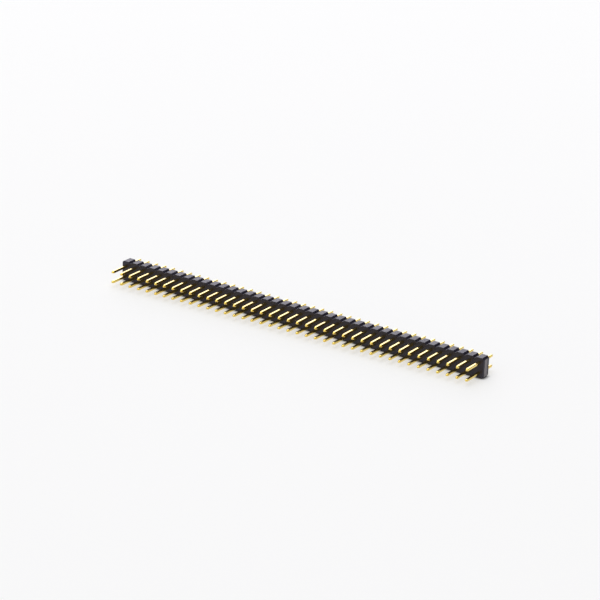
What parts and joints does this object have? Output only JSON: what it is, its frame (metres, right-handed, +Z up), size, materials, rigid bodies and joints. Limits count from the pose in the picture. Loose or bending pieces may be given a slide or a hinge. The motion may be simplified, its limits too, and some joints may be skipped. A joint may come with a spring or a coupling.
{
  "type": "pin header strip",
  "caption": "Straight two-row male pin header strip: a black moulded insulator with break notches between its columns, and square gold-plated pins through it.",
  "frame": {"origin": "middle of the strip's length and of the pins' span, on the surface that the strip lies on", "axes": "+X along the strip, +Y along the pins towards the solder tails, +Z up from the long narrow side that it lies on"},
  "size_m": [0.1016, 0.012, 0.005],
  "materials": {
    "insulator": "moulded glass-filled thermoplastic, satin",
    "pins": "thin gold plating, bright"
  },
  "bodies": {
    "root": {"housing": "insulator", "pin_pair_01": "pins", "pin_pair_02": "pins", "pin_pair_03": "pins", "pin_pair_04": "pins", "pin_pair_05": "pins", "pin_pair_06": "pins", "pin_pair_07": "pins", "pin_pair_08": "pins", "pin_pair_09": "pins", "pin_pair_10": "pins", "pin_pair_11": "pins", "pin_pair_12": "pins", "pin_pair_13": "pins", "pin_pair_14": "pins", "pin_pair_15": "pins", "pin_pair_16": "pins", "pin_pair_17": "pins", "pin_pair_18": "pins", "pin_pair_19": "pins", "pin_pair_20": "pins", "pin_pair_21": "pins", "pin_pair_22": "pins", "pin_pair_23": "pins", "pin_pair_24": "pins", "pin_pair_25": "pins", "pin_pair_26": "pins", "pin_pair_27": "pins", "pin_pair_28": "pins", "pin_pair_29": "pins", "pin_pair_30": "pins", "pin_pair_31": "pins", "pin_pair_32": "pins", "pin_pair_33": "pins", "pin_pair_34": "pins", "pin_pair_35": "pins", "pin_pair_36": "pins", "pin_pair_37": "pins", "pin_pair_38": "pins", "pin_pair_39": "pins", "pin_pair_40": "pins"}
  },
  "joints": []
}
